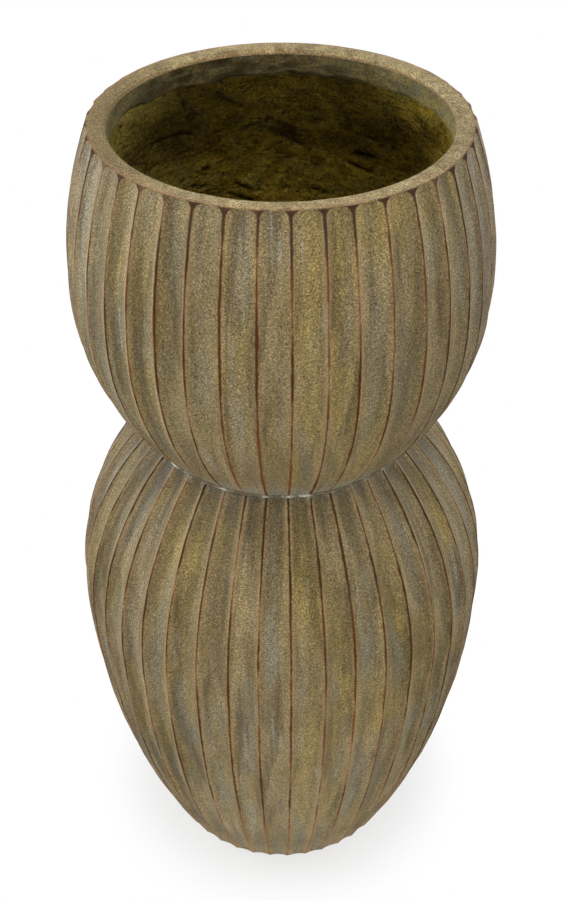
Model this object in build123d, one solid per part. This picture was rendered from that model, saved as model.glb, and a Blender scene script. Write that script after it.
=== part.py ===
from build123d import *
import math
import os

# Fluted double-gourd urn vase: a wide-mouthed bowl bonded to an egg-shaped lower body.
# Both are hand-laid castings with a rough backing. Millimetres, +Z up.
# The origin is the middle of the foot, on the floor, and one flute crest faces the front, -Y.

# Outline, measured at the flute crests
overall_height = 750
foot_radius = 118.5
belly_radius = 184
belly_height = 308
waist_radius = 114
waist_height = 478.5
bowl_radius = 169
bowl_height = 621
rim_radius = 144.5

# Walls, measured level, and the bond line between layers
shell_wall = 9
lining_wall = 6
bond_gap = 0.3

# Flutes, as many on the bowl as on the body, crest above crest
flute_count = 41
flute_depth = 3
flute_fade = 10

# Mouth: a lip turned inwards over a smooth collar
mouth_radius = 129.2
lip_depth = 12
lip_outer_round = 3
lip_inner_round = 3
band_height = 14

# Waist joint: a level butt joint, sealed outside by a bead and tied inside by a strip
joint_land = 3
bead_height = 3
bead_proud = 0.5
strip_reach = 30

# Foot
slab_thickness = 18

# How many level sections carry each arc of a fluted surface, and how many end the flutes
arc_section_count = 6
fade_section_count = 5

lip_underside = overall_height - lip_depth
band_bottom = lip_underside - band_height
flute_top = overall_height - lip_outer_round
fade_start = flute_top - flute_fade
lining_inset = shell_wall + bond_gap


# Radius of the arc that stands upright at the widest point and meets the end point
def arc_radius(wide_radius, wide_height, end_radius, end_height):
    drawn_in = wide_radius - end_radius
    return ((end_height - wide_height) ** 2 + drawn_in**2) / (2 * drawn_in)


bowl_top_arc = arc_radius(bowl_radius, bowl_height, rim_radius, overall_height)
bowl_bottom_arc = arc_radius(bowl_radius, bowl_height, waist_radius, waist_height)
body_top_arc = arc_radius(belly_radius, belly_height, waist_radius, waist_height)
body_bottom_arc = arc_radius(belly_radius, belly_height, foot_radius, 0)


# Radius of an outline at a height, from the arc above or below its widest point
def swell(height, wide_radius, wide_height, top_arc, bottom_arc):
    arc = top_arc if height > wide_height else bottom_arc
    level_reach = math.sqrt(arc**2 - (height - wide_height) ** 2)
    return wide_radius - arc + math.copysign(level_reach, arc)


def bowl_outline(height):
    return swell(height, bowl_radius, bowl_height, bowl_top_arc, bowl_bottom_arc)


def body_outline(height):
    return swell(height, belly_radius, belly_height, body_top_arc, body_bottom_arc)


# The bead leaves a land for the butt joint, measured where the sloping walls stand furthest out
bead_low = waist_height - bead_height / 2
bead_high = waist_height + bead_height / 2
bead_back = max(body_outline(bead_low), bowl_outline(bead_high)) - shell_wall + joint_land


# Arcs from one height to another along an outline moved inwards, one arc each side of the widest point
def wall_arcs(outline, wide_height, inset, low, high):
    stops = [low, high]
    if low < wide_height < high:
        stops.insert(1, wide_height)
    arcs = []
    for bottom, top in zip(stops, stops[1:]):
        heights = (bottom, (bottom + top) / 2, top)
        arcs.append(ThreePointArc(*[(outline(height) - inset, height) for height in heights]))
    return arcs


def bowl_arcs(inset, low, high):
    return wall_arcs(bowl_outline, bowl_height, inset, low, high)


def body_arcs(inset, low, high):
    return wall_arcs(body_outline, belly_height, inset, low, high)


# Solid of revolution about the upright axis from lines drawn as (radius, height)
def turned(lines):
    return revolve(Plane.XZ * make_face(lines), Axis.Z)


# Straight-sided ring between two radii and two heights
def ring(inner_radius, outer_radius, low, high):
    corners = [(inner_radius, low), (outer_radius, low), (outer_radius, high), (inner_radius, high)]
    return turned(Polyline(*corners, close=True))


# Layer that lies along the arcs, as thick as a lining, with level ends
def laid_layer(outer_arcs, inner_arcs):
    bottom = Line(inner_arcs[0] @ 0, outer_arcs[0] @ 0)
    top = Line(outer_arcs[-1] @ 1, inner_arcs[-1] @ 1)
    return turned([bottom, *outer_arcs, top, *inner_arcs])


# Solid core that fills a wall's inside, from the axis out to the arcs
def core(arcs, top_lines):
    bottom = arcs[0] @ 0
    top = (top_lines[-1] if top_lines else arcs[-1]) @ 1
    axis_lines = Polyline((top.X, top.Y), (0, top.Y), (0, bottom.Y), (bottom.X, bottom.Y))
    return turned([*arcs, *top_lines, axis_lines])


# Level section: crest to crest, each flute one arc hollowed at its middle
def fluted_section(height, crest_radius, depth):
    pitch = 360 / flute_count
    arcs = []
    for index in range(flute_count):
        crest_angle = -90 + index * pitch
        stations = ((crest_radius, 0), (crest_radius - depth, 0.5), (crest_radius, 1))
        points = [
            (radius * math.cos(math.radians(crest_angle + share * pitch)),
             radius * math.sin(math.radians(crest_angle + share * pitch)))
            for radius, share in stations
        ]
        arcs.append(ThreePointArc(*points))
    return Pos(0, 0, height) * make_face(arcs)


# Flutes narrow with the outline, so their depth follows the crest radius
def depth_at(crest_radius):
    return flute_depth * crest_radius / belly_radius


# Heights between two points of one arc, an even turn apart
def arc_heights(wide_height, arc, low, high):
    first_turn = math.asin((low - wide_height) / arc)
    last_turn = math.asin((high - wide_height) / arc)
    step = (last_turn - first_turn) / (arc_section_count - 1)
    return [wide_height + arc * math.sin(first_turn + step * index) for index in range(arc_section_count)]


# Heights of the sections that end the flutes
def fade_heights():
    step = flute_fade / (fade_section_count - 1)
    return [fade_start + step * index for index in range(fade_section_count)]


# Scooped end of a flute: full depth at the start of the fade, none at the top
def fade_share(height):
    run = max(0, height - fade_start) / flute_fade
    return math.sqrt(1 - min(run, 1) ** 2)


def fluted_solid(outline, heights):
    sections = []
    for height in heights:
        radius = outline(height)
        sections.append(fluted_section(height, radius, depth_at(radius) * fade_share(height)))
    return loft(sections)


# Room for the bead, cut from the meeting edges of both castings
def bead_seat():
    return ring(bead_back, bead_back + 2 * shell_wall, bead_low, bead_high)


def make_lip():
    outer_edge = bowl_outline(flute_top)
    flat_start = outer_edge - lip_outer_round
    quarter = lip_outer_round * math.sqrt(0.5)
    rounding = ThreePointArc(
        (outer_edge, flute_top),
        (flat_start + quarter, flute_top + quarter),
        (flat_start, overall_height),
    )
    inner_edge = mouth_radius - lip_inner_round
    flat_lines = Polyline(
        (flat_start, overall_height),
        (inner_edge, overall_height),
        (inner_edge, flute_top),
        (outer_edge, flute_top),
    )
    return turned([rounding, flat_lines])


# Inside of the bowl casting: the wall, the underside of the lip and the rounded mouth
def bowl_core():
    wall = bowl_arcs(shell_wall, waist_height, lip_underside)
    wall_top = wall[-1] @ 1
    round_start = overall_height - lip_inner_round
    quarter = lip_inner_round * (1 - math.sqrt(0.5))
    mouth = Polyline(
        (wall_top.X, wall_top.Y),
        (mouth_radius, lip_underside),
        (mouth_radius, round_start),
    )
    rounding = ThreePointArc(
        (mouth_radius, round_start),
        (mouth_radius + quarter, overall_height - quarter),
        (mouth_radius + lip_inner_round, overall_height),
    )
    return core(wall, [mouth, rounding])


def make_upper_bowl_shell():
    heights = arc_heights(bowl_height, bowl_bottom_arc, waist_height, bowl_height)
    heights += arc_heights(bowl_height, bowl_top_arc, bowl_height, fade_start)[1:]
    fluted = fluted_solid(bowl_outline, heights) + fluted_solid(bowl_outline, fade_heights())
    return fluted + make_lip() - bowl_core() - bead_seat()


def make_lower_body_shell():
    heights = arc_heights(belly_height, body_bottom_arc, 0, belly_height)
    heights += arc_heights(belly_height, body_top_arc, belly_height, waist_height)[1:]
    inside = core(body_arcs(shell_wall, 0, waist_height), [])
    return fluted_solid(body_outline, heights) - inside - bead_seat()


def make_mouth_band():
    outer = bowl_arcs(lining_inset, band_bottom, lip_underside)
    inner = [Line((mouth_radius, band_bottom), (mouth_radius, lip_underside))]
    return laid_layer(outer, inner)


def make_upper_bowl_lining():
    low = waist_height + strip_reach
    outer = bowl_arcs(lining_inset, low, band_bottom)
    inner = bowl_arcs(lining_inset + lining_wall, low, band_bottom)
    return laid_layer(outer, inner)


def make_lower_body_lining():
    high = waist_height - strip_reach
    outer = body_arcs(lining_inset, slab_thickness, high)
    inner = body_arcs(lining_inset + lining_wall, slab_thickness, high)
    return laid_layer(outer, inner)


def make_waist_strip():
    low = waist_height - strip_reach
    high = waist_height + strip_reach
    faces = []
    for inset in (lining_inset, lining_inset + lining_wall):
        faces.append(body_arcs(inset, low, waist_height) + bowl_arcs(inset, waist_height, high))
    return laid_layer(*faces)


def make_waist_bead():
    inner = bead_back + bond_gap
    outer = waist_radius + bead_proud
    nose = outer + bead_height / 2
    straight = Polyline((outer, bead_high), (inner, bead_high), (inner, bead_low), (outer, bead_low))
    rounding = ThreePointArc((outer, bead_low), (nose, waist_height), (outer, bead_high))
    return turned([straight, rounding])


def make_base_slab():
    return core(body_arcs(lining_inset, 0, slab_thickness), [])


parts = {
    "upper_bowl_shell": make_upper_bowl_shell(),
    "mouth_band": make_mouth_band(),
    "upper_bowl_lining": make_upper_bowl_lining(),
    "waist_bead": make_waist_bead(),
    "waist_strip": make_waist_strip(),
    "lower_body_shell": make_lower_body_shell(),
    "lower_body_lining": make_lower_body_lining(),
    "base_slab": make_base_slab(),
}

os.makedirs("parts", exist_ok=True)
for node, shape in parts.items():
    export_step(shape, f"parts/{node}.step")
    print(node, f"{shape.volume / 1000:.0f} cm3")
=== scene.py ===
import math
import random

import bmesh
import bpy
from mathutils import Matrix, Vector, noise


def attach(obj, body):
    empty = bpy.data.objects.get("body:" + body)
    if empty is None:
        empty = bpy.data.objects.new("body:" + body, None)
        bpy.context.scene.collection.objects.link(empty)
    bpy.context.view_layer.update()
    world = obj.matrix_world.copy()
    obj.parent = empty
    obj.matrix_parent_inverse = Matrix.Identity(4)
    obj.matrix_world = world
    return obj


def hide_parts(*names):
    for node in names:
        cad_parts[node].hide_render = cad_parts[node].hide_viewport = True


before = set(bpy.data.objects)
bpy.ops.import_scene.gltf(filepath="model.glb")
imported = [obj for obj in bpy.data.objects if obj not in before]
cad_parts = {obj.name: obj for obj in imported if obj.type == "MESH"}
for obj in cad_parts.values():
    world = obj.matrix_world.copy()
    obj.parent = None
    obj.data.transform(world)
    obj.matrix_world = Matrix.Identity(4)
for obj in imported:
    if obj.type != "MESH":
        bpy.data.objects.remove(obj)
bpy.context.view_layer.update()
scene = bpy.context.scene
random.seed(41)
print("frame loaded")

# the turned outline, in metres, taken at the flute crests
outline = {
    "height": 0.750, "rimRadius": 0.1445, "mouthRadius": 0.1292,
    "bowlRadius": 0.169, "bowlHeight": 0.621,
    "waistRadius": 0.114, "waistHeight": 0.4785,
    "bellyRadius": 0.184, "bellyHeight": 0.308, "footRadius": 0.1185,
    "wall": 0.009, "liningInset": 0.0093, "liningWall": 0.006,
    "wrapRadius": 0.150,                # patterns are laid round the vase at this radius
}
meshing = {
    "outlineSteps": 300, "weld": 1e-6, "samePoint": 1e-5,
    "sharpAngle": 55, "roughSharpAngle": 80,             # degrees
}


# radius of the arc that stands upright at the widest point and meets an end, both as (radius, height)
def arcRadius(wide, end):
    drawnIn = wide[0] - end[0]
    return ((end[1] - wide[1]) ** 2 + drawnIn ** 2) / (2 * drawnIn)


# the radius at a height of an outline with one arc above its widest point and one below
def makeOutline(wide, top, bottom):
    topArc = arcRadius(wide, top)
    lowArc = arcRadius(wide, bottom)

    def radiusAt(z):
        rise = z - wide[1]
        arc = topArc if rise > 0 else lowArc
        return wide[0] - arc + math.sqrt(arc ** 2 - rise ** 2)

    return radiusAt


waistPoint = (outline["waistRadius"], outline["waistHeight"])
bowlOutline = makeOutline(
    (outline["bowlRadius"], outline["bowlHeight"]), (outline["rimRadius"], outline["height"]), waistPoint)
bodyOutline = makeOutline(
    (outline["bellyRadius"], outline["bellyHeight"]), waistPoint, (outline["footRadius"], 0.0))


def smoothStep(low, high, value):
    share = min(max((value - low) / (high - low), 0.0), 1.0)
    return share * share * (3 - 2 * share)


# noise about zero as a share from 0 to 1
def asShare(value):
    return 0.5 + 0.5 * max(min(value, 1.0), -1.0)


# points of an outline an even length apart, as (radius, height)
def wallPoints(radiusAt, low, high, count, inset=0.0):
    steps = meshing["outlineSteps"]
    fine = [low + (high - low) * i / steps for i in range(steps + 1)]
    runs = [0.0]
    for a, b in zip(fine, fine[1:]):
        runs.append(runs[-1] + math.hypot(b - a, radiusAt(b) - radiusAt(a)))
    points = []
    at = 0
    for i in range(count):
        goal = runs[-1] * i / (count - 1)
        while at < steps - 1 and runs[at + 1] < goal:
            at += 1
        share = (goal - runs[at]) / (runs[at + 1] - runs[at])
        z = fine[at] + (fine[at + 1] - fine[at]) * share
        points.append((radiusAt(z) - inset, z))
    return points


# points from one corner to another, the first one left out
def straightPoints(start, end, count):
    return [tuple(a + (b - a) * (i + 1) / count for a, b in zip(start, end)) for i in range(count)]


# quarter of an ellipse from start to end, bulging towards the corner, the first point left out
def cornerPoints(start, corner, end, count):
    points = []
    for i in range(count):
        turn = math.pi / 2 * (i + 1) / count
        points.append(tuple(
            c + (a - c) * (1 - math.sin(turn)) + (b - c) * (1 - math.cos(turn))
            for a, c, b in zip(start, corner, end)
        ))
    return points


# points of a loop with the zone they belong to, which tells later steps what lies there
def zoned(points, zone):
    return [(r, z, zone) for r, z in points]


# a closed loop of (radius, height, zone) points spun round the upright axis:
# one sector from the front, then its copies
def spinLoop(loop, sectors, columns):
    bm = bmesh.new()
    zone = bm.verts.layers.float.new("zone")
    run = bm.verts.layers.float.new("run")
    verts = []
    length = 0.0
    last = loop[0]
    for point in loop:
        length += math.dist(point[:2], last[:2])
        last = point
        vert = bm.verts.new((0.0, -point[0], point[1]))
        vert[zone] = point[2]
        vert[run] = length
        verts.append(vert)
    edges = [bm.edges.new(pair) for pair in zip(verts, verts[1:] + verts[:1])]
    sector = math.tau / sectors
    upright = {"cent": (0, 0, 0), "axis": (0, 0, 1), "dvec": (0, 0, 0)}
    bmesh.ops.spin(bm, geom=verts + edges, angle=sector, steps=columns, **upright)
    bmesh.ops.spin(
        bm, geom=bm.verts[:] + bm.edges[:] + bm.faces[:], angle=sector * (sectors - 1), steps=sectors - 1,
        use_duplicate=True, **upright)
    bmesh.ops.remove_doubles(bm, verts=bm.verts, dist=meshing["weld"])
    bmesh.ops.recalc_face_normals(bm, faces=bm.faces)
    return bm


# where a vertex stands round the vase: its radius and its turn from the front, to the right
def polar(co):
    return math.hypot(co.x, co.y), math.atan2(co.x, -co.y) % math.tau


def placed(radius, turn, z):
    return Vector((math.sin(turn) * radius, -math.cos(turn) * radius, z))


# rough noise at a point, set as (scale, smoothness, lacunarity, octaves)
def roughNoise(point, look):
    scale, smoothness, lacunarity, octaves = look
    return noise.fractal(point * scale, smoothness, lacunarity, octaves)


# rough noise laid round the wall
def wallNoise(turn, z, look):
    return roughNoise(placed(outline["wrapRadius"], turn, z), look)


# lays each vertex out round the vase, so that patterns follow the wall
def layWrap(bm):
    wrap = bm.verts.layers.float_vector.new("wrap")
    run = bm.verts.layers.float["run"]
    for vert in bm.verts:
        turn = polar(vert.co)[1]
        vert[wrap] = placed(outline["wrapRadius"], turn, vert[run])


def finishPiece(bm, name, finishes, sharpAngle=meshing["sharpAngle"]):
    mesh = bpy.data.meshes.new(name)
    bm.to_mesh(mesh)
    bm.free()
    mesh.shade_smooth()
    mesh.set_sharp_from_angle(angle=math.radians(sharpAngle))
    for finish in finishes:
        mesh.materials.append(finish)
    piece = bpy.data.objects.new(name + "_piece", mesh)
    scene.collection.objects.link(piece)
    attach(piece, "root")
    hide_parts(name)
    print(name, len(mesh.polygons), "faces")


# colour as a picture editor shows it, 0 to 255, made linear
def tint(red, green, blue):
    parts = [channel / 255 for channel in (red, green, blue)]
    return (*[((c + 0.055) / 1.055) ** 2.4 if c > 0.04 else c / 12.92 for c in parts], 1.0)


def plug(tree, node, inputs):
    for key, value in inputs.items():
        if isinstance(value, bpy.types.NodeSocket):
            tree.links.new(value, node.inputs[key])
        else:
            node.inputs[key].default_value = value


def addNode(tree, kind, inputs=None, **settings):
    node = tree.nodes.new(kind)
    for key, value in settings.items():
        setattr(node, key, value)
    plug(tree, node, inputs or {})
    return node


def mixTint(tree, share, first, second, blend="MIX"):
    node = addNode(tree, "ShaderNodeMix", {0: share, 6: first, 7: second}, data_type="RGBA", blend_type=blend)
    return node.outputs[2]


def ramp(tree, value, low, high, start=0.0, end=1.0):
    node = addNode(
        tree, "ShaderNodeMapRange",
        {"Value": value, "From Min": low, "From Max": high, "To Min": start, "To Max": end},
        interpolation_type="SMOOTHSTEP",
    )
    return node.outputs["Result"]


def math2(tree, operation, first, second):
    return addNode(tree, "ShaderNodeMath", {0: first, 1: second}, operation=operation).outputs[0]


def times(tree, first, second):
    return math2(tree, "MULTIPLY", first, second)


def scaled(tree, vector, factors, offset=(0, 0, 0)):
    node = addNode(
        tree, "ShaderNodeVectorMath", {0: vector, 1: factors, 2: offset}, operation="MULTIPLY_ADD")
    return node.outputs[0]


def speck(tree, vector, scale, detail=3.0, roughness=0.55, distortion=0.0):
    node = addNode(tree, "ShaderNodeTexNoise", {
        "Vector": vector, "Scale": scale, "Detail": detail, "Roughness": roughness, "Distortion": distortion})
    return node.outputs["Fac"]


# what the mesh carries at its vertices under a name
def readLayer(tree, name, socket="Fac"):
    return addNode(tree, "ShaderNodeAttribute", attribute_name=name).outputs[socket]


# where a point lies on its piece, as X, Y and Z
def readPlace(tree):
    place = addNode(tree, "ShaderNodeTexCoord").outputs["Object"]
    return addNode(tree, "ShaderNodeSeparateXYZ", {0: place}).outputs


def newGroup(name, inputs, outputs):
    tree = bpy.data.node_groups.new(name, "ShaderNodeTree")
    for label, kind, value in inputs:
        socket = tree.interface.new_socket(label, in_out="INPUT", socket_type=kind)
        socket.default_value = value
    for label, kind in outputs:
        tree.interface.new_socket(label, in_out="OUTPUT", socket_type=kind)
    entry = tree.nodes.new("NodeGroupInput")
    leave = tree.nodes.new("NodeGroupOutput")
    return tree, entry.outputs, leave.inputs


# grain noise as (detail, roughness), and where it counts as a grain
grainLook = {"noise": (3.0, 0.65), "shown": (0.44, 0.70), "darkShift": (3.7, 1.3, 9.1), "darkDip": 0.6}
patchLook = {"noise": (4.0, 0.55, 0.35)}                 # detail, roughness, distortion


# sandy grain of the cast clay: pale and dark grains of a colour, and their height
def makeGrainGroup():
    s = grainLook
    tree, given, gives = newGroup("clayGrain", [
        ("Color", "NodeSocketColor", (0.2, 0.2, 0.2, 1)),
        ("Scale", "NodeSocketFloat", 640.0),
        ("Pale Amount", "NodeSocketFloat", 0.5),
        ("Dark Amount", "NodeSocketFloat", 0.5),
    ], [("Color", "NodeSocketColor"), ("Height", "NodeSocketFloat")])
    place = addNode(tree, "ShaderNodeTexCoord").outputs["Object"]
    coarse = speck(tree, place, given["Scale"], *s["noise"])
    other = speck(tree, scaled(tree, place, (1, 1, 1), s["darkShift"]), given["Scale"], *s["noise"])
    pale = times(tree, ramp(tree, coarse, *s["shown"]), given["Pale Amount"])
    dark = times(tree, ramp(tree, other, *s["shown"]), given["Dark Amount"])
    level = times(tree, math2(tree, "ADD", pale, 1.0), math2(tree, "SUBTRACT", 1.0, dark))
    color = addNode(tree, "ShaderNodeVectorMath", {0: given["Color"], "Scale": level}, operation="SCALE")
    tree.links.new(color.outputs[0], gives["Color"])
    tree.links.new(math2(tree, "SUBTRACT", coarse, times(tree, other, s["darkDip"])), gives["Height"])
    return tree


# soft patches of two colours, drawn out along the wall
def makePatchGroup():
    tree, given, gives = newGroup("wallPatches", [
        ("First", "NodeSocketColor", (0.2, 0.2, 0.2, 1)),
        ("Second", "NodeSocketColor", (0.3, 0.3, 0.3, 1)),
        ("Scale", "NodeSocketFloat", 30.0),
        ("Drawn Out", "NodeSocketFloat", 0.2),
        ("Start", "NodeSocketFloat", 0.42),
        ("Full", "NodeSocketFloat", 0.6),
    ], [("Color", "NodeSocketColor"), ("Mask", "NodeSocketFloat")])
    wrap = readLayer(tree, "wrap", "Vector")
    draw = addNode(tree, "ShaderNodeCombineXYZ", {"X": 1.0, "Y": 1.0, "Z": given["Drawn Out"]}).outputs[0]
    field = speck(tree, scaled(tree, wrap, draw), given["Scale"], *patchLook["noise"])
    mask = ramp(tree, field, given["Start"], given["Full"])
    tree.links.new(mask, gives["Mask"])
    tree.links.new(mixTint(tree, mask, given["First"], given["Second"]), gives["Color"])
    return tree


grainGroup = makeGrainGroup()
patchGroup = makePatchGroup()


# patches of a finish, set as (scale, drawn out, start, full)
def addPatches(tree, look, first=None, second=None):
    inputs = dict(zip(("Scale", "Drawn Out", "Start", "Full"), look))
    if first:
        inputs.update({"First": tint(*first), "Second": tint(*second)})
    return addNode(tree, "ShaderNodeGroup", inputs, node_tree=patchGroup).outputs


def addGrain(tree, color, scale, pale, dark):
    inputs = {"Color": color, "Scale": scale, "Pale Amount": pale, "Dark Amount": dark}
    return addNode(tree, "ShaderNodeGroup", inputs, node_tree=grainGroup).outputs


def addBump(tree, height, distance):
    bump = addNode(tree, "ShaderNodeBump", {"Height": height, "Distance": distance, "Strength": 1.0})
    return bump.outputs[0]


def newFinish(name):
    finish = bpy.data.materials.new(name)
    finish.use_nodes = True
    tree = finish.node_tree
    tree.nodes.clear()
    shader = addNode(tree, "ShaderNodeBsdfPrincipled")
    addNode(tree, "ShaderNodeOutputMaterial", {"Surface": shader.outputs[0]})
    return finish, tree, shader


# in all finishes: colours, patches, ramps as (from, to) or (from, to, low, high), and plain shares
flutedFinish = {
    "olive": (103, 88, 46), "gold": (141, 121, 69), "goldPatch": (110.0, 0.15, 0.38, 0.64),
    "umber": (108, 93, 62), "khaki": (140, 124, 88), "drabPatch": (90.0, 0.13, 0.38, 0.64),
    "stretchPatch": (17.0, 0.4, 0.38, 0.68), "crestGold": 0.45,
    "middleGap": (0.002, 0.008), "besideGap": (0.0065, 0.0005),
    "slate": (118, 113, 97), "slatePatch": (70.0, 0.14, 0.46, 0.66), "slateDown": (0.50, 0.44, 0.45, 0.68),
    "wash": (70, 56, 30), "washPatch": (85.0, 0.10, 0.50, 0.70), "washDown": (0.50, 0.44, 0.55, 0.66),
    "wall": (150, 132, 94), "wearSheenPatch": (52.0, 0.12, 0.44, 0.64), "wearSheenShare": 0.6,
    "chalkAndGlint": (156, 153, 140), "glintPatch": (150.0, 0.07, 0.60, 0.76), "glintShare": 0.5,
    "dust": (140, 137, 122), "dustShare": 0.75, "grimeAndShade": (52, 41, 18), "grimeAndShadeShare": 0.7,
    "lip": (150, 132, 92), "lipPale": (170, 152, 110), "lipPatch": (120.0, 1.0, 0.46, 0.62),
    "lipStain": (110, 91, 52), "stainPatch": (48.0, 1.0, 0.50, 0.66), "stainShare": 0.7,
    "lipAgedLeft": (-0.07, -0.13, 0.0, 0.75),
    "rubbed": (146, 110, 72), "rubbedShare": 0.8, "rubbedIn": (0.05, 0.5), "rubbedOut": (1.0, 0.6),
    "crest": (80, 47, 23), "rust": (114, 70, 38), "rustNoise": (24.0, 3.0), "rusty": (0.48, 0.64),
    "fineNoise": (300.0, 2.0, 0.5), "fineDraw": (1, 1, 0.30),
    "slowNoise": (60.0, 2.0, 0.5), "slowDraw": (1, 1, 0.22),
    "rustDraw": (1, 1, 0.5), "rustShift": (7, 2, 5), "crestWaver": (0.3, 0.7, 0.0003, -0.0003),
    "crestWidth": (0.32, 0.68, 0.000245, 0.00098), "crestEdge": (0.0009, -0.0004),
    "crestFaint": (0.30, 0.50, 0.6, 1.0), "crestEnd": (0.9, 0.1),
    "spandrel": (74, 52, 38), "spandrelUp": (0.700, 0.735),
    "shoulderCrest": (62, 37, 18), "shoulderUp": (0.34, 0.43, 0.0, 0.8), "shoulderEnd": (0.481, 0.477),
    "footCrest": (166, 128, 82), "footDown": (0.15, 0.02, 0.0, 0.75),
    "peachHighlight": (160, 121, 84), "highlightReach": (0.0030, 0.0004), "highlightShare": (0.62, 0.40, 0.0, 0.38),
    "grainScale": 800.0, "paleGrain": 1.3, "darkGrain": 0.70, "wearSheenGrain": (0.0, 1.0, 1.0, 0.5),
    "fluteTone": (0.0, 1.0, 0.88, 1.04), "bodyPaler": (0.44, 0.38, 0.0, 0.04),
    "rightShadeDarker": (0.04, 0.12, 0.0, 0.10), "aboveWaist": (0.478, 0.482), "belowLip": (0.6, 0.0),
    "bump": 0.0009, "roughness": (0.0, 0.4, 0.70, 0.54), "specular": (0.0, 1.0, 0.28, 0.02),
}


def makeFlutedClay():
    s = flutedFinish
    finish, tree, shader = newFinish("flutedClay")
    wrap = readLayer(tree, "wrap", "Vector")
    gap = readLayer(tree, "crestGap")
    lip = readLayer(tree, "lipShare")
    place = readPlace(tree)
    height = place["Z"]
    middle = ramp(tree, gap, *s["middleGap"])
    beside = ramp(tree, gap, *s["besideGap"])

    # golden and drab stretches, each mottled along the flutes, more golden towards the crests
    golden = addPatches(tree, s["goldPatch"], s["olive"], s["gold"])
    drab = addPatches(tree, s["drabPatch"], s["umber"], s["khaki"])
    stretch = addPatches(tree, s["stretchPatch"])
    goldShare = math2(tree, "MAXIMUM", stretch["Mask"], times(tree, beside, s["crestGold"]))
    color = mixTint(tree, goldShare, drab["Color"], golden["Color"])

    # slate down the middle, dark wash in streaks, worn walls with painted sheen by the crests, painted
    # glints, dust
    slateShare = times(tree, addPatches(tree, s["slatePatch"])["Mask"], middle)
    slateShare = times(tree, slateShare, ramp(tree, height, *s["slateDown"]))
    color = mixTint(tree, slateShare, color, tint(*s["slate"]))
    wash = addPatches(tree, s["washPatch"])
    washShare = times(tree, wash["Mask"], ramp(tree, height, *s["washDown"]))
    color = mixTint(tree, washShare, color, tint(*s["wash"]))
    # paler walls with fainter grain by the crests: wear, and painted sheen
    wearAndSheen = times(tree, addPatches(tree, s["wearSheenPatch"])["Mask"], beside)
    color = mixTint(tree, times(tree, wearAndSheen, s["wearSheenShare"]), color, tint(*s["wall"]))
    # painted glints: pale bluish streaks over the wall
    chalkAndGlint = addPatches(tree, s["glintPatch"])
    color = mixTint(tree, times(tree, chalkAndGlint["Mask"], s["glintShare"]), color, tint(*s["chalkAndGlint"]))
    dust = readLayer(tree, "dustShare")
    color = mixTint(tree, times(tree, dust, s["dustShare"]), color, tint(*s["dust"]))

    # mottled lip, stained on the left, with a rubbed edge
    lipTint = addPatches(tree, s["lipPatch"], s["lip"], s["lipPale"])
    stain = times(tree, addPatches(tree, s["stainPatch"])["Mask"], s["stainShare"])
    stain = math2(tree, "MAXIMUM", stain, ramp(tree, place["X"], *s["lipAgedLeft"]))
    color = mixTint(tree, lip, color, mixTint(tree, stain, lipTint["Color"], tint(*s["lipStain"])))
    lipEdge = times(tree, ramp(tree, lip, *s["rubbedIn"]), ramp(tree, lip, *s["rubbedOut"]))
    color = mixTint(tree, times(tree, lipEdge, s["rubbedShare"]), color, tint(*s["rubbed"]))

    # worn crest lines, uneven in width and fainter here and there, rusty in places, with a peach painted
    # highlight beside them
    fine = speck(tree, scaled(tree, wrap, s["fineDraw"]), *s["fineNoise"])
    slow = speck(tree, scaled(tree, wrap, s["slowDraw"]), *s["slowNoise"])
    edge = math2(tree, "ADD", gap, ramp(tree, fine, *s["crestWaver"]))
    off = math2(tree, "SUBTRACT", edge, ramp(tree, slow, *s["crestWidth"]))
    line = times(tree, ramp(tree, off, *s["crestEdge"]), ramp(tree, slow, *s["crestFaint"]))
    line = times(tree, line, ramp(tree, lip, *s["crestEnd"]))
    rust = speck(tree, scaled(tree, wrap, s["rustDraw"], s["rustShift"]), *s["rustNoise"])
    lineTint = mixTint(tree, ramp(tree, rust, *s["rusty"]), tint(*s["crest"]), tint(*s["rust"]))
    lineTint = mixTint(tree, ramp(tree, height, *s["spandrelUp"]), lineTint, tint(*s["spandrel"]))
    shoulder = times(tree, ramp(tree, height, *s["shoulderUp"]), ramp(tree, height, *s["shoulderEnd"]))
    lineTint = mixTint(tree, shoulder, lineTint, tint(*s["shoulderCrest"]))
    lineTint = mixTint(tree, ramp(tree, height, *s["footDown"]), lineTint, tint(*s["footCrest"]))
    # painted highlight: a peach band along the flanks of the crest lines
    crestHighlight = times(tree, ramp(tree, off, *s["highlightReach"]), ramp(tree, slow, *s["highlightShare"]))
    color = mixTint(tree, crestHighlight, color, tint(*s["peachHighlight"]))

    # grain, weaker on the worn walls with painted sheen, then the lines, then grime and painted shade over it
    strength = ramp(tree, wearAndSheen, *s["wearSheenGrain"])
    pale = times(tree, strength, s["paleGrain"])
    dark = times(tree, strength, s["darkGrain"])
    grained = addGrain(tree, color, s["grainScale"], pale, dark)
    color = mixTint(tree, line, grained["Color"], lineTint)
    # grime near the foot, and painted shade under the waist crease
    grimeAndShade = readLayer(tree, "grimeAndShadeShare")
    color = mixTint(tree, times(tree, grimeAndShade, s["grimeAndShadeShare"]), color, tint(*s["grimeAndShade"]))

    # each flute in its own tone, the body a little paler, and painted shade making the bowl darker on the
    # right
    value = ramp(tree, readLayer(tree, "fluteTone"), *s["fluteTone"])
    value = math2(tree, "ADD", value, ramp(tree, height, *s["bodyPaler"]))
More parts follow.
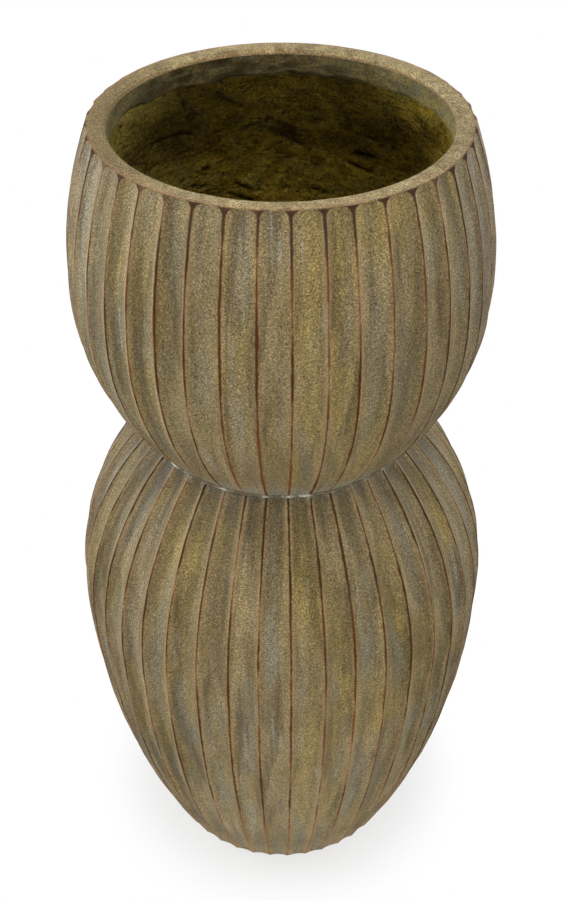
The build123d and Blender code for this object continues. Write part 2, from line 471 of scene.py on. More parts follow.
    # painted shade: the bowl a little darker on its right side
    paintedSideShade = times(tree, ramp(tree, place["X"], *s["rightShadeDarker"]), ramp(tree, height, *s["aboveWaist"]))
    paintedSideShade = times(tree, paintedSideShade, ramp(tree, lip, *s["belowLip"]))
    value = math2(tree, "SUBTRACT", value, paintedSideShade)
    shade = addNode(tree, "ShaderNodeHueSaturation", {"Color": color, "Value": value})
    plug(tree, shader, {
        "Base Color": shade.outputs[0],
        "Roughness": ramp(tree, grained["Height"], *s["roughness"]),
        "Specular IOR Level": ramp(tree, line, *s["specular"]),
        "Normal": addBump(tree, grained["Height"], s["bump"]),
    })
    return finish


collarFinish = {
    "grey": (160, 151, 112), "tan": (194, 174, 110), "groundPatch": (60.0, 1.3, 0.40, 0.62),
    "brown": (43, 35, 14), "blotPatch": (40.0, 2.0, 0.28, 0.74), "blotShare": (0.0, 1.0, 0.84, 1.0),
    "grainScale": 600.0, "paleGrain": 0.6, "darkGrain": 0.5,
    "bump": 0.0014, "roughness": (0.0, 1.0, 0.86, 0.94), "specular": 0.08,
}


def makeSmoothCollar():
    s = collarFinish
    finish, tree, shader = newFinish("smoothCollar")
    ground = addPatches(tree, s["groundPatch"], s["grey"], s["tan"])
    blot = addPatches(tree, s["blotPatch"])
    brown = times(tree, readLayer(tree, "stainShare"), ramp(tree, blot["Mask"], *s["blotShare"]))
    color = mixTint(tree, brown, ground["Color"], tint(*s["brown"]))
    grained = addGrain(tree, color, s["grainScale"], s["paleGrain"], s["darkGrain"])
    plug(tree, shader, {
        "Base Color": grained["Color"],
        "Roughness": ramp(tree, blot["Mask"], *s["roughness"]),
        "Specular IOR Level": s["specular"],
        "Normal": addBump(tree, grained["Height"], s["bump"]),
    })
    return finish


liningFinish = {
    "ochre": (182, 155, 58), "umber": (136, 114, 38), "groundPatch": (60.0, 1.8, 0.40, 0.62),
    "moss": (154, 141, 74), "mossPatch": (70.0, 1.6, 0.50, 0.7), "mossShare": 0.7,
    "paintedLightTint": (178, 161, 90), "paintedLightLeft": (-0.04, -0.11, 0.0, 0.45),
    "shadeTint": (104, 102, 82), "shadeUp": (0.60, 0.70), "shadeBack": (0.06, 0.13),
    "shadeDown": (0.67, 0.61, 0.0, 0.26),
    "pit": (20, 16, 4), "pitShare": 0.85,
    "hairNoise": (26.0, 5.0, 0.6, 1.2), "hairDraw": (1, 1, 3.2), "hairWidth": (0.016, 0.004),
    "whereNoise": (38.0, 2.0), "whereShift": (4, 7, 2), "hairWhere": (0.38, 0.50),
    "grainScale": 420.0, "paleGrain": 0.7, "darkGrain": 0.55,
    "bump": 0.0020, "roughness": (0.0, 0.4, 0.96, 0.84), "specular": 0.06,
}


def makeLaidBacking():
    s = liningFinish
    finish, tree, shader = newFinish("laidBacking")
    wrap = readLayer(tree, "wrap", "Vector")
    ground = addPatches(tree, s["groundPatch"], s["ochre"], s["umber"])
    moss = addPatches(tree, s["mossPatch"])
    color = mixTint(tree, times(tree, moss["Mask"], s["mossShare"]), ground["Color"], tint(*s["moss"]))

    # painted light on the left wall, painted shade at the back under the collar and lower down
    place = readPlace(tree)
    # painted light: the left wall made paler
    color = mixTint(tree, ramp(tree, place["X"], *s["paintedLightLeft"]), color, tint(*s["paintedLightTint"]))
    # painted shade: darker at the back under the collar, and lower down
    paintedInnerShade = times(tree, ramp(tree, place["Z"], *s["shadeUp"]), ramp(tree, place["Y"], *s["shadeBack"]))
    paintedInnerShade = math2(tree, "MAXIMUM", paintedInnerShade, ramp(tree, place["Z"], *s["shadeDown"]))
    color = mixTint(tree, paintedInnerShade, color, tint(*s["shadeTint"]), "MULTIPLY")

    # hairline cracks that run level and slant, here and there
    bent = speck(tree, scaled(tree, wrap, s["hairDraw"]), *s["hairNoise"])
    hair = ramp(tree, math2(tree, "ABSOLUTE", math2(tree, "SUBTRACT", bent, 0.5), 0.0), *s["hairWidth"])
    where = speck(tree, scaled(tree, wrap, (1, 1, 1), s["whereShift"]), *s["whereNoise"])
    hair = times(tree, hair, ramp(tree, where, *s["hairWhere"]))
    grained = addGrain(tree, color, s["grainScale"], s["paleGrain"], s["darkGrain"])
    dark = math2(tree, "MAXIMUM", readLayer(tree, "crackShare"), hair)
    plug(tree, shader, {
        "Base Color": mixTint(tree, times(tree, dark, s["pitShare"]), grained["Color"], tint(*s["pit"])),
        "Roughness": ramp(tree, grained["Height"], *s["roughness"]),
        "Specular IOR Level": s["specular"],
        "Normal": addBump(tree, math2(tree, "SUBTRACT", grained["Height"], hair), s["bump"]),
    })
    return finish


mortarFinish = {
    "chalkAndGlint": (210, 206, 194), "dirt": (108, 96, 70), "stainPatch": (70.0, 1.0, 0.44, 0.58),
    "grainScale": 520.0, "paleGrain": 0.15, "darkGrain": 0.4,
    "bump": 0.0005, "roughness": (0.0, 1.0, 0.90, 0.96), "specular": 0.2,
}


def makePaleMortar():
    s = mortarFinish
    finish, tree, shader = newFinish("paleMortar")
    stain = addPatches(tree, s["stainPatch"])
    clean = times(tree, readLayer(tree, "proudShare"), stain["Mask"])
    color = mixTint(tree, clean, tint(*s["dirt"]), tint(*s["chalkAndGlint"]))
    grained = addGrain(tree, color, s["grainScale"], s["paleGrain"], s["darkGrain"])
    plug(tree, shader, {
        "Base Color": grained["Color"],
        "Roughness": ramp(tree, stain["Mask"], *s["roughness"]),
        "Specular IOR Level": s["specular"],
        "Normal": addBump(tree, grained["Height"], s["bump"]),
    })
    return finish


footFinish = {
    "cement": (122, 112, 92), "damp": (94, 84, 62), "groundPatch": (24.0, 1.0, 0.42, 0.6),
    "grainScale": 300.0, "paleGrain": 0.5, "darkGrain": 0.5,
    "bump": 0.0010, "roughness": (0.0, 1.0, 0.92, 0.82), "specular": 0.2,
}


def makeFootCement():
    s = footFinish
    finish, tree, shader = newFinish("footCement")
    ground = addPatches(tree, s["groundPatch"], s["cement"], s["damp"])
    grained = addGrain(tree, ground["Color"], s["grainScale"], s["paleGrain"], s["darkGrain"])
    plug(tree, shader, {
        "Base Color": grained["Color"],
        "Roughness": ramp(tree, ground["Mask"], *s["roughness"]),
        "Specular IOR Level": s["specular"],
        "Normal": addBump(tree, grained["Height"], s["bump"]),
    })
    return finish


flutedClay = makeFlutedClay()
smoothCollar = makeSmoothCollar()
laidBacking = makeLaidBacking()
paleMortar = makePaleMortar()
footCement = makeFootCement()
print("finishes made")

flutes = {
    "count": 41, "columns": 14, "crowding": 0.74,        # columns crowd towards the crests
    "depth": 0.0047, "crestSoftness": 0.04, "openGap": 0.012,
    "archRound": 0.0072, "archFlare": 0.0002, "flareRun": 0.035, "scoop": 0.006,
    "handArch": (0.72, 1.05), "handTurn": 0.4, "handWaver": 0.18,        # the turns in degrees
    "handDepth": 0.12, "handRipple": 0.10, "wornBack": 0.0007, "wornNoise": (38.0, 1.0, 2.0, 3),
    # noise up each flute, as (step from flute to flute, scale up the wall, slice)
    "waverNoise": (7.31, 14.0, 2.5), "rippleNoise": (3.7, 22.0, 8.1),
    # how far the crests at the front stand off their even places, in degrees, from the left to the right
    "bowlCrests": (0.3, 0.6, 0.6, 0.3, 0.5, 0.0, 0.3, 0.5, 0.3, 0.3, -0.7, -0.4, 0.6, 0.3, 0.3, -0.3, -0.6),
    "bodyCrests": (0.3, 0.8, 0.8, 0.5, 0.2, 0.8, 0.8, 0.2, 0.0, 0.4, -0.2, 0.1, -0.4, -0.2, -0.5, -0.7, -0.7),
}
pitch = math.tau / flutes["count"]
fluteSteps = flutes["count"] * flutes["columns"]
fluteDeepness = [1 + random.uniform(-1, 1) * flutes["handDepth"] for i in range(flutes["count"])]
fluteTones = [random.random() for i in range(flutes["count"])]
archSizes = [random.uniform(*flutes["handArch"]) for i in range(flutes["count"])]


# where each crest stands, in shares of a flute: the front ones as given, the rest by hand
def crestStands(given):
    stands = [random.uniform(-1, 1) * flutes["handTurn"] for i in range(flutes["count"])]
    for i, turn in enumerate(given):
        stands[(i - len(given) // 2) % flutes["count"]] = turn
    return [math.radians(turn) / pitch for turn in stands]


def fluteNoise(index, z, look):
    step, scale, cut = look
    return noise.noise(Vector((index * step, z * scale, cut)))


# how far a crest strays from its even place, at a height
def crestPlace(stands, index, z):
    index = index % flutes["count"]
    waver = fluteNoise(index, z, flutes["waverNoise"])
    return stands[index] + waver * math.radians(flutes["handWaver"]) / pitch


# depth across a flute, from 1 in the middle to 0 at its crests
def hollow(across):
    soft = flutes["crestSoftness"]
    return (math.sqrt((1 - across * across) ** 2 + soft * soft) - soft) / (math.sqrt(1 + soft * soft) - soft)


# carves the flutes into zone 0 of a spun shell, ends them in arches at a run of the loop,
# and notes what the finish needs
def carveFlutes(bm, given, archRun, depthShare):
    stands = crestStands(given)
    zone = bm.verts.layers.float["zone"]
    run = bm.verts.layers.float["run"]
    gapLayer = bm.verts.layers.float.new("crestGap")
    toneLayer = bm.verts.layers.float.new("fluteTone")
    for vert in bm.verts:
        radius, turn = polar(vert.co)
        z = vert.co.z
        step = round(turn / math.tau * fluteSteps) % fluteSteps
        flute, column = divmod(step, flutes["columns"])
        share = column / flutes["columns"]
        share -= flutes["crowding"] * math.sin(math.tau * share) / math.tau
        start = flute + crestPlace(stands, flute, z)
        end = flute + 1 + crestPlace(stands, flute + 1, z)
        turn = pitch * (start + share * (end - start))
        before = fluteTones[flute - 1]
        vert[toneLayer] = fluteTones[flute] if column else (fluteTones[flute] + before) / 2
        vert[gapLayer] = flutes["openGap"]
        if vert[zone] < 0.5:
            halfWidth = pitch * radius * (end - start) / 2
            aside = abs(2 * share - 1) * halfWidth
            below = archRun - vert[run]
            archHalf = halfWidth
            scoop = 1.0
            archRound = flutes["archRound"] * archSizes[flute]
            if below < archRound:
                lift = archRound - max(below, 0.0)
                archHalf = halfWidth - archRound + math.sqrt(archRound ** 2 - lift ** 2)
            if below < flutes["scoop"]:
                rest = 1 - max(below, 0.0) / flutes["scoop"]
                scoop = math.sqrt(1 - rest * rest)
            flare = flutes["archFlare"] * (1 - smoothStep(0.0, flutes["flareRun"], below))
            vert[gapLayer] = max(archHalf - aside - flare, 0.0)
            if aside < archHalf:
                uneven = 1 + flutes["handRipple"] * fluteNoise(flute, z, flutes["rippleNoise"])
                depth = flutes["depth"] * radius / outline["bellyRadius"] * fluteDeepness[flute] * uneven
                radius -= depth * depthShare(z) * scoop * hollow(aside / archHalf)
            radius -= flutes["wornBack"] * asShare(wallNoise(turn, z, flutes["wornNoise"]))
        vert.co = placed(radius, turn, z)
    layWrap(bm)


# how stained the collar is round the mouth: darkest at the back, a little to the left
collarStain = {"turn": 192.0, "mean": 0.5, "swing": 0.55}


def stainAt(turn):
    s = collarStain
    return min(max(s["mean"] + s["swing"] * math.cos(turn - math.radians(s["turn"])), 0.0), 1.0)


# upper bowl: fluted outside, flat lip, short inner face; the back is hidden by the lining
# zones: 0 fluted, 1 lip, 2 inner face, 3 back
upperBowl = {
    "bottom": 0.480, "fluteRows": 46, "archRows": 12, "archStart": 0.735, "edgeTop": 0.7475,
    "lipOuter": 0.0050, "lipOuterRows": 7, "archOver": 0.0026, "lipInner": 0.0025, "lipRows": 4,
    "lipUnderside": 0.738, "backRows": 12, "landOuter": 0.1095,
    "depthShare": 0.82, "waistShare": 0.35, "waistFill": 0.010,
    "lipUneven": 0.0006, "lipNoise": (30.0, 1.0, 2.0, 3), "lipBlend": (-0.0012, 0.0025),
    "dustReach": 0.026, "dustRagged": 0.6, "dustNoise": (60.0, 1.0, 2.0, 3), "collarZone": 1.6,
}


def loopLength(loop):
    return sum(math.dist(a[:2], b[:2]) for a, b in zip(loop, loop[1:]))


def makeUpperBowl():
    s = upperBowl
    mouth = outline["mouthRadius"]
    top = outline["height"]
    loop = zoned(wallPoints(bowlOutline, s["bottom"], s["archStart"], s["fluteRows"]), 0)
    loop += zoned(wallPoints(bowlOutline, s["archStart"], s["edgeTop"], s["archRows"])[1:], 0)
    edge = loop[-1][:2]
    archRun = loopLength(loop) + s["archOver"]
    flatStart = (edge[0] - s["lipOuter"], top)
    loop += zoned(cornerPoints(edge, (edge[0], top), flatStart, s["lipOuterRows"]), 0)
    flatEnd = (mouth + s["lipInner"], top)
    loop += zoned(straightPoints(flatStart, flatEnd, s["lipRows"]), 1)
    faceTop = (mouth, top - s["lipInner"])
    loop += zoned(cornerPoints(flatEnd, (mouth, top), faceTop, s["lipRows"]), 1)
    faceLow = (mouth, s["lipUnderside"])
    loop += zoned(straightPoints(faceTop, faceLow, s["lipRows"]), 2)
    backTop = bowlOutline(s["lipUnderside"]) - outline["wall"]
    loop += [(backTop, s["lipUnderside"], 3)]
    back = wallPoints(bowlOutline, outline["waistHeight"], s["lipUnderside"], s["backRows"], outline["wall"])
    loop += zoned(back[-2::-1], 3)
    loop += [(s["landOuter"], outline["waistHeight"], 3), (s["landOuter"], s["bottom"], 3)]
    bm = spinLoop(loop, flutes["count"], flutes["columns"])

    def depthShare(z):
        full = smoothStep(s["bottom"], s["bottom"] + s["waistFill"], z)
        return s["depthShare"] * (s["waistShare"] + (1 - s["waistShare"]) * full)

    carveFlutes(bm, flutes["bowlCrests"], archRun, depthShare)
    zone = bm.verts.layers.float["zone"]
    run = bm.verts.layers.float["run"]
    lipLayer = bm.verts.layers.float.new("lipShare")
    dustLayer = bm.verts.layers.float.new("dustShare")
    stainLayer = bm.verts.layers.float.new("stainShare")
    bm.verts.layers.float.new("grimeAndShadeShare")
    for vert in bm.verts:
        radius, turn = polar(vert.co)
        z = vert.co.z
        if vert[zone] < 1.5 and z > s["archStart"]:
            blendStart, blendEnd = s["lipBlend"]
            lipPart = smoothStep(archRun + blendStart, archRun + blendEnd, vert[run])
            vert.co.z -= s["lipUneven"] * asShare(wallNoise(turn, radius, s["lipNoise"])) * lipPart
            vert[lipLayer] = lipPart
        ragged = 1 + s["dustRagged"] * wallNoise(turn, z, s["dustNoise"])
        vert[dustLayer] = 1 - smoothStep(0.0, s["dustReach"] * ragged, z - s["bottom"])
        vert[stainLayer] = stainAt(turn)
    for face in bm.faces:                                # the inner face is finished like the collar
        face.material_index = 1 if sum(v[zone] for v in face.verts) / 4 > s["collarZone"] else 0
    finishPiece(bm, "upper_bowl_shell", [flutedClay, smoothCollar])


# lower body: fluted from the foot to the waist; zones: 0 fluted and foot, 3 back
lowerBody = {
    "top": 0.477, "fluteRows": 84, "footRound": 0.002, "footRows": 3, "landOuter": 0.1095, "backRows": 14,
    "footShare": 0.55, "bodyShare": 0.60, "footFade": 0.060, "noise": (55.0, 1.0, 2.0, 3),
    "dustDepth": 0.005, "dustRagged": 0.6,
    "smudge": (0.036, 0.054), "smudgeFade": (0.012, 0.020), "smudgeStray": (0.006, 0.010),
    "smudgeShare": (0.25, 0.35),
    "footLine": 0.010, "lineFade": 0.003, "lineStray": 0.002, "lineShare": 0.35,
    "shadeDepth": 0.05, "shadeGap": 0.006, "shadeShare": (0.75, 0.4),
}


# dirt on the lower body: a smudge above the foot and a line round it; painted shade at the top between the
# crests, under the waist crease
def bodyGrimeAndShade(s, z, gap, rough):
    low, high = s["smudge"]
    smudge = smoothStep(low - s["smudgeFade"][0], low, z + s["smudgeStray"][0] * rough)
    smudge *= 1 - smoothStep(high, high + s["smudgeFade"][1], z + s["smudgeStray"][1] * rough)
    line = 1 - smoothStep(0.0, s["lineFade"], abs(z - s["footLine"] + s["lineStray"] * rough))
    # painted shade: darker between the crests just under the waist crease
    paintedCreaseShade = (1 - smoothStep(0.0, s["shadeDepth"], s["top"] - z)) * smoothStep(0.0, s["shadeGap"], gap)
    return max(
        smudge * (s["smudgeShare"][0] + s["smudgeShare"][1] * max(rough, 0.0)),
        line * s["lineShare"],
        paintedCreaseShade * (s["shadeShare"][0] + s["shadeShare"][1] * rough),
    )


def makeLowerBody():
    s = lowerBody
    rim = (bodyOutline(s["footRound"]), s["footRound"])
    under = (rim[0] - s["footRound"], 0.0)
    loop = zoned(wallPoints(bodyOutline, s["footRound"], s["top"], s["fluteRows"]), 0)
    loop += [(s["landOuter"], s["top"], 3), (s["landOuter"], outline["waistHeight"], 3)]
    back = wallPoints(bodyOutline, 0.0, outline["waistHeight"], s["backRows"], outline["wall"])
    loop += zoned(back[::-1], 3)
    loop += [(under[0], 0.0, 0)]
    loop += zoned(cornerPoints(under, (rim[0], 0.0), rim, s["footRows"])[:-1], 0)
    bm = spinLoop(loop, flutes["count"], flutes["columns"])

    def depthShare(z):
        return s["footShare"] + s["bodyShare"] * smoothStep(0.0, s["footFade"], z)

    carveFlutes(bm, flutes["bodyCrests"], math.inf, depthShare)        # no arches on the body
    gapLayer = bm.verts.layers.float["crestGap"]
    bm.verts.layers.float.new("lipShare")
    dustLayer = bm.verts.layers.float.new("dustShare")
    grimeAndShadeLayer = bm.verts.layers.float.new("grimeAndShadeShare")
    for vert in bm.verts:
        z = vert.co.z
        rough = wallNoise(polar(vert.co)[1], z, s["noise"])
        ragged = 1 + s["dustRagged"] * rough
        vert[dustLayer] = 1 - smoothStep(0.0, s["dustDepth"] * ragged, s["top"] - z)
        vert[grimeAndShadeLayer] = bodyGrimeAndShade(s, z, vert[gapLayer], rough)
    finishPiece(bm, "lower_body_shell", [flutedClay])


# collar under the lip: flush with the lip's inner face, torn along its lower edge
mouthBand = {
    "bottom": 0.724, "top": 0.738, "edgeRound": 0.004, "rows": 5, "sectors": 24, "columns": 20,
    "torn": 0.0058, "tornGain": 1.6, "tornNoise": (3.1, 0.8, 2.3, 6), "tornSlice": 0.3,
    "tornReach": (0.004, 0.009), "topKept": 0.002, "setBack": 0.0007, "lumpNoise": (90.0, 1.0, 2.0, 3),
}


def makeMouthBand():
    s = mouthBand
    mouth = outline["mouthRadius"]
    rows = s["rows"]
    outer = wallPoints(bowlOutline, s["bottom"], s["top"], rows, outline["liningInset"])
    faceTop = (mouth, s["top"])
    faceLow = (mouth, s["bottom"] + s["edgeRound"])
    under = (mouth + s["edgeRound"], s["bottom"])
    loop = zoned([faceTop] + straightPoints(faceTop, faceLow, rows), 0)
    loop += zoned(cornerPoints(faceLow, (mouth, s["bottom"]), under, rows), 0)
    loop += zoned(straightPoints(under, (outer[0][0], s["bottom"]), rows), 1)
    loop += zoned(outer[1:], 2)
    bm = spinLoop(loop, s["sectors"], s["columns"])
    stainLayer = bm.verts.layers.float.new("stainShare")
    nearStart, nearEnd = s["tornReach"]
    for vert in bm.verts:
        radius, turn = polar(vert.co)
        z = vert.co.z
        around = Vector((math.sin(turn), math.cos(turn), s["tornSlice"]))
        rough = s["tornGain"] * roughNoise(around, s["tornNoise"])
        tornUp = s["torn"] * asShare(rough)
        near = 1 - smoothStep(mouth + nearStart, mouth + nearEnd, radius)
        low = 1 - smoothStep(s["bottom"], s["top"] - s["topKept"], z)
        lump = roughNoise(placed(radius, turn, z), s["lumpNoise"])
        setBack = s["setBack"] * asShare(lump) * near * low
        vert.co = placed(radius + setBack, turn, z + tornUp * near * low)
        vert[stainLayer] = stainAt(turn)
    layWrap(bm)
    finishPiece(bm, "mouth_band", [smoothCollar])


# the hand-laid backing: what its three layers share, then each one's own relief in metres
laying = {
    "backRows": 8, "calmEdge": 0.004, "lumpNoise": (26.0, 0.9, 2.0, 4), "fineNoise": (120.0, 0.9, 2.0, 3),
    "bendNoise": 14.0, "bend": 0.012, "slant": 0.35, "seamAcross": 9.0, "seamUp": 42.0,
    "seamWidth": (0.012, 0.05), "brokenNoise": 46.0, "brokenShift": (5, 3, 1), "broken": (0.0, 0.28),
    "pitNoise": 95.0, "pitShift": (2, 9, 4), "pitted": (0.52, 0.75),
}
bowlBacking = {
    "sectors": 25, "columns": 25, "rows": 120,
    "lump": 0.0024, "fine": 0.0008, "crack": 0.0030, "pit": 0.0016, "crackShade": 0.85,
}
waistStrip = {
    "sectors": 20, "columns": 15, "rows": 24, "low": 0.4485, "high": 0.5085,
    "lump": 0.0016, "fine": 0.0006, "crack": 0.0018, "pit": 0.0010, "crackShade": 0.7,
}
bodyBacking = {
    "sectors": 20, "columns": 18, "rows": 90,
    "lump": 0.0022, "fine": 0.0006, "crack": 0.0022, "pit": 0.0010, "crackShade": 0.7,
}


# how far the backing stands in or out, and how cracked it is there
def layRoughness(co, turn, s):
    around = placed(outline["wrapRadius"], turn, co.z)
    lumps = roughNoise(around, laying["lumpNoise"])
    fine = roughNoise(around, laying["fineNoise"])
    bend = noise.noise(around * laying["bendNoise"]) * laying["bend"]
    across = laying["seamAcross"]
    rise = (co.z + bend + laying["slant"] * around.x) * laying["seamUp"]
    seam = abs(noise.noise(Vector((around.x * across, around.y * across, rise))))
    breaks = noise.noise(around * laying["brokenNoise"] + Vector(laying["brokenShift"]))
    broken = smoothStep(*laying["broken"], breaks)
    crack = (1 - smoothStep(*laying["seamWidth"], seam)) * broken
    pits = noise.noise(around * laying["pitNoise"] + Vector(laying["pitShift"]))
    pit = smoothStep(*laying["pitted"], pits)
    inward = s["lump"] * lumps + s["fine"] * fine - s["crack"] * crack - s["pit"] * pit
    return inward, min(crack + pit, 1.0)


# the points without repeats, since the two outlines of the strip share one
def withoutRepeats(points):
    kept = [points[0]]
    for point in points[1:]:
        if math.dist(point, kept[-1]) > meshing["samePoint"]:
            kept.append(point)
    return kept


# a rough laid layer: smooth back against the casting, uneven face towards the inside
def makeLaidLayer(name, s, outlines):
    face = []
    back = []
    for radiusAt, low, high in outlines:
        face += wallPoints(radiusAt, low, high, s["rows"], outline["liningInset"] + outline["liningWall"])
        back += wallPoints(radiusAt, low, high, laying["backRows"], outline["liningInset"])
    face = withoutRepeats(face)
    back = withoutRepeats(back[::-1])
    bm = spinLoop(zoned(face, 0) + zoned(back, 1), s["sectors"], s["columns"])
    zone = bm.verts.layers.float["zone"]
    crackLayer = bm.verts.layers.float.new("crackShare")
    low = face[0][1]
    high = face[-1][1]
    for vert in bm.verts:
        radius, turn = polar(vert.co)
        z = vert.co.z
        if vert[zone] < 0.5:
            inward, crack = layRoughness(vert.co, turn, s)
            edge = laying["calmEdge"]
            calm = smoothStep(0.0, edge, z - low) * smoothStep(0.0, edge, high - z)
            vert.co = placed(radius - inward * calm, turn, z)
            vert[crackLayer] = crack * s["crackShade"]
    layWrap(bm)
    finishPiece(bm, name, [laidBacking], meshing["roughSharpAngle"])


def makeBackings():
    waist = outline["waistHeight"]
    low, high = waistStrip["low"], waistStrip["high"]
    makeLaidLayer("upper_bowl_lining", bowlBacking, [(bowlOutline, high, mouthBand["bottom"])])
    makeLaidLayer("waist_strip", waistStrip, [(bodyOutline, low, waist), (bowlOutline, waist, high)])
    makeLaidLayer("lower_body_lining", bodyBacking, [(bodyOutline, baseSlab["thickness"], low)])


# bead of mortar pressed into the crease, standing proud only in places
waistBead = {
    "inner": 0.1098, "seat": 0.1125, "low": 0.477, "high": 0.480, "nose": 0.1158, "noseRows": 4,
    "sectors": 41, "columns": 14, "sunk": 0.0022, "sunkMost": 0.0030,
    "mean": 0.35, "valley": 0.35, "drift": 0.55, "ripple": 0.2,
    "driftNoise": (7.0, 0.8, 2.0, 4), "rippleNoise": 40.0,
    "proud": (0.0004, 0.0016),
}


def makeWaistBead():
    s = waistBead
    low, high, nose = s["low"], s["high"], s["nose"]
    middle = (low + high) / 2
    outer = nose - (high - low) / 2
    loop = [(s["inner"], low, 1), (s["seat"], low, 1), (outer, low, 0)]
    loop += zoned(cornerPoints((outer, low), (nose, low), (nose, middle), s["noseRows"]), 0)
    loop += zoned(cornerPoints((nose, middle), (nose, high), (outer, high), s["noseRows"]), 0)
    loop += [(s["seat"], high, 1), (s["inner"], high, 1)]
    bm = spinLoop(loop, s["sectors"], s["columns"])
    zone = bm.verts.layers.float["zone"]
    proudLayer = bm.verts.layers.float.new("proudShare")
    for vert in bm.verts:
        radius, turn = polar(vert.co)
        if vert[zone] < 0.5:
            around = Vector((math.sin(turn), math.cos(turn), 0.0))
            drift = roughNoise(around, s["driftNoise"])
            ripple = noise.noise(around * s["rippleNoise"])
            valley = 0.5 - 0.5 * math.cos(turn * flutes["count"])
            share = s["mean"] + s["valley"] * valley - s["drift"] * drift + s["ripple"] * ripple
            sunk = min(max(s["sunk"] * share, 0.0), s["sunkMost"])
            vert.co = placed(radius - sunk, turn, vert.co.z)
            vert[proudLayer] = 1 - smoothStep(*s["proud"], sunk)
    layWrap(bm)
    finishPiece(bm, "waist_bead", [paleMortar])


# slab that closes the foot, floated flat by hand
baseSlab = {
    "thickness": 0.018, "rings": 16, "edgeRows": 3, "sectors": 12, "columns": 15,
    "underSet": 0.0012, "topUneven": 0.0018, "noise": (24.0, 0.9, 2.0, 4),
    "calmEdge": (0.012, 0.002), "faceDepth": 0.001,
}


def makeBaseSlab():
    s = baseSlab
    thick = s["thickness"]
    edgeLow = (bodyOutline(0.0) - outline["liningInset"], 0.0)
    edgeHigh = (bodyOutline(thick) - outline["liningInset"], thick)
    loop = zoned([(0.0, 0.0)] + straightPoints((0.0, 0.0), edgeLow, s["rings"]), 0)
    loop += zoned(straightPoints(edgeLow, edgeHigh, s["edgeRows"]), 1)
    loop += zoned(straightPoints(edgeHigh, (0.0, thick), s["rings"]), 2)
    bm = spinLoop(loop, s["sectors"], s["columns"])
    bmesh.ops.delete(bm, geom=[e for e in bm.edges if not e.link_faces], context="EDGES")
    calmStart, calmEnd = (edgeLow[0] - reach for reach in s["calmEdge"])
    for vert in bm.verts:
        rough = asShare(roughNoise(vert.co, s["noise"]))
        inside = 1 - smoothStep(calmStart, calmEnd, polar(vert.co)[0])
        if vert.co.z < s["faceDepth"]:
            vert.co.z += s["underSet"] * rough * inside
        elif vert.co.z > thick - s["faceDepth"]:
            vert.co.z -= s["topUneven"] * rough * inside
    wrap = bm.verts.layers.float_vector.new("wrap")
    for vert in bm.verts:                                # the slab is flat, so its patterns lie flat too
        vert[wrap] = vert.co
    finishPiece(bm, "base_slab", [footCement])


makeUpperBowl()
makeLowerBody()
makeMouthBand()
makeBackings()
makeWaistBead()
makeBaseSlab()
print("vase pieces made")

# floor, light and camera; the lamps all look at one height of the axis
stage = {
    "floorRadius": 9.0, "floorSides": 96, "floorTint": (204, 202, 199), "contact": (0.11, 0.20, 0.7, 1.0),
    "worldStrength": 0.08, "aimHeight": 0.42,
    "leftLamp": {
        "place": (-2.3, 0.7, 1.1), "size": (1.4, 1.6), "spread": 180.0,
        "power": 76.0, "tint": (0.93, 0.96, 1.0)},
    "rightLamp": {
        "place": (2.3, 0.7, 1.1), "size": (1.4, 1.6), "spread": 180.0,
        "power": 44.0, "tint": (0.93, 0.96, 1.0)},
    "frontLamp": {
        "place": (-0.05, -2.0, 0.9), "size": (0.22, 1.2), "spread": 11.0,
        "power": 0.71, "tint": (1.0, 1.0, 1.0)},
    "topLamp": {
        "place": (0.3, -0.7, 3.0), "size": (2.4, 2.4), "spread": 180.0,
        "power": 39.0, "tint": (1.0, 1.0, 1.0)},
}


# 1 for rays that show the room itself, 0 for those that light the vase
def seenRays(tree):
    path = addNode(tree, "ShaderNodeLightPath").outputs
    seen = math2(tree, "MAXIMUM", path["Is Camera Ray"], path["Is Glossy Ray"])
    return math2(tree, "MAXIMUM", seen, path["Is Transmission Ray"])


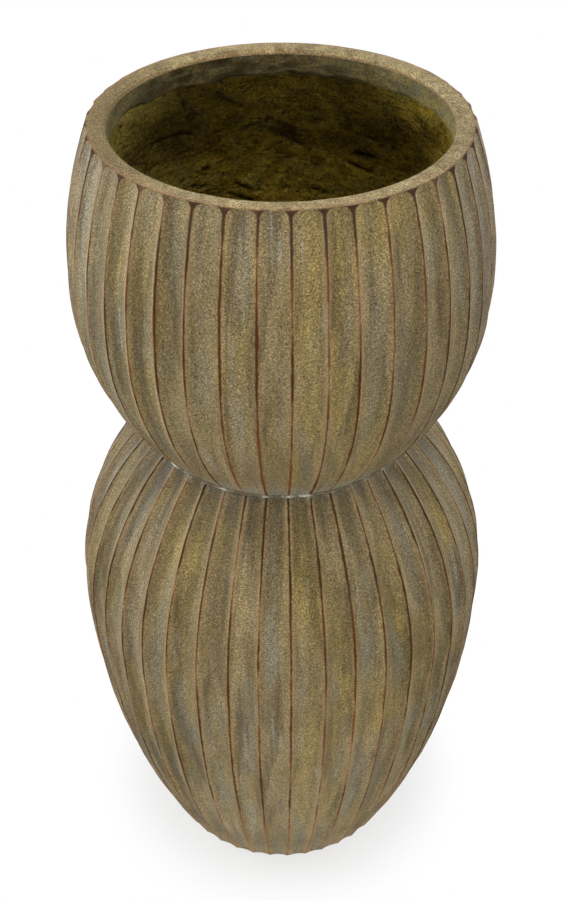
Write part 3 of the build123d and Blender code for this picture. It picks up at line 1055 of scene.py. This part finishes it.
def makeFloor():
    bm = bmesh.new()
    bmesh.ops.create_circle(bm, cap_ends=True, segments=stage["floorSides"], radius=stage["floorRadius"])
    bmesh.ops.recalc_face_normals(bm, faces=bm.faces)
    mesh = bpy.data.meshes.new("floor")
    bm.to_mesh(mesh)
    bm.free()
    floor = bpy.data.objects.new("floor", mesh)
    scene.collection.objects.link(floor)
    finish = bpy.data.materials.new("paleFloor")
    finish.use_nodes = True
    tree = finish.node_tree
    tree.nodes.clear()

    # white all round, with the shade of the foot showing close to it
    matte = addNode(tree, "ShaderNodeBsdfDiffuse", {"Color": tint(*stage["floorTint"])})
    white = addNode(tree, "ShaderNodeEmission", {"Color": (1, 1, 1, 1), "Strength": 1.0})
    place = addNode(tree, "ShaderNodeTexCoord").outputs["Object"]
    away = addNode(tree, "ShaderNodeVectorMath", {0: place}, operation="LENGTH").outputs["Value"]
    whiteShare = times(tree, ramp(tree, away, *stage["contact"]), seenRays(tree))
    mixed = addNode(tree, "ShaderNodeMixShader", {0: whiteShare, 1: matte.outputs[0], 2: white.outputs[0]})
    addNode(tree, "ShaderNodeOutputMaterial", {"Surface": mixed.outputs[0]})
    mesh.materials.append(finish)


def makeWorld():
    world = bpy.data.worlds.new("softRoom")
    scene.world = world
    world.use_nodes = True
    tree = world.node_tree
    tree.nodes.clear()
    strength = ramp(tree, seenRays(tree), 0.0, 1.0, stage["worldStrength"], 1.0)
    sky = addNode(tree, "ShaderNodeBackground", {"Color": (1, 1, 1, 1), "Strength": strength})
    addNode(tree, "ShaderNodeOutputWorld", {"Surface": sky.outputs[0]})


def addLamp(name):
    s = stage[name]
    lamp = bpy.data.lights.new(name, "AREA")
    lamp.shape = "RECTANGLE"
    lamp.size, lamp.size_y = s["size"]
    lamp.spread = math.radians(s["spread"])
    lamp.energy = s["power"]
    lamp.color = s["tint"]
    holder = bpy.data.objects.new(name, lamp)
    scene.collection.objects.link(holder)
    holder.location = s["place"]
    aim = Vector((0, 0, stage["aimHeight"])) - Vector(s["place"])
    holder.rotation_euler = aim.to_track_quat("-Z", "Y").to_euler()


# the photo's camera, swung round the axis by its turn in degrees
camera = {
    "place": (0.0034, -0.9219, 1.1714), "pitchDown": 38.618, "turn": -2.55,
    "lens": 53.31, "sensor": 36.0, "clipStart": 0.01,
}


def makeCamera():
    data = bpy.data.cameras.new("photoCamera")
    data.lens = camera["lens"]
    data.sensor_width = camera["sensor"]
    data.clip_start = camera["clipStart"]
    holder = bpy.data.objects.new("photoCamera", data)
    scene.collection.objects.link(holder)
    turn = math.radians(camera["turn"])
    x, y, z = camera["place"]
    holder.location = (x * math.cos(turn) - y * math.sin(turn), x * math.sin(turn) + y * math.cos(turn), z)
    holder.rotation_euler = (math.radians(90 - camera["pitchDown"]), 0.0, turn)
    scene.camera = holder


makeFloor()
makeWorld()
for lampName in ("leftLamp", "rightLamp", "frontLamp", "topLamp"):
    addLamp(lampName)
makeCamera()
scene.view_settings.view_transform = "Standard"
print("stage made")
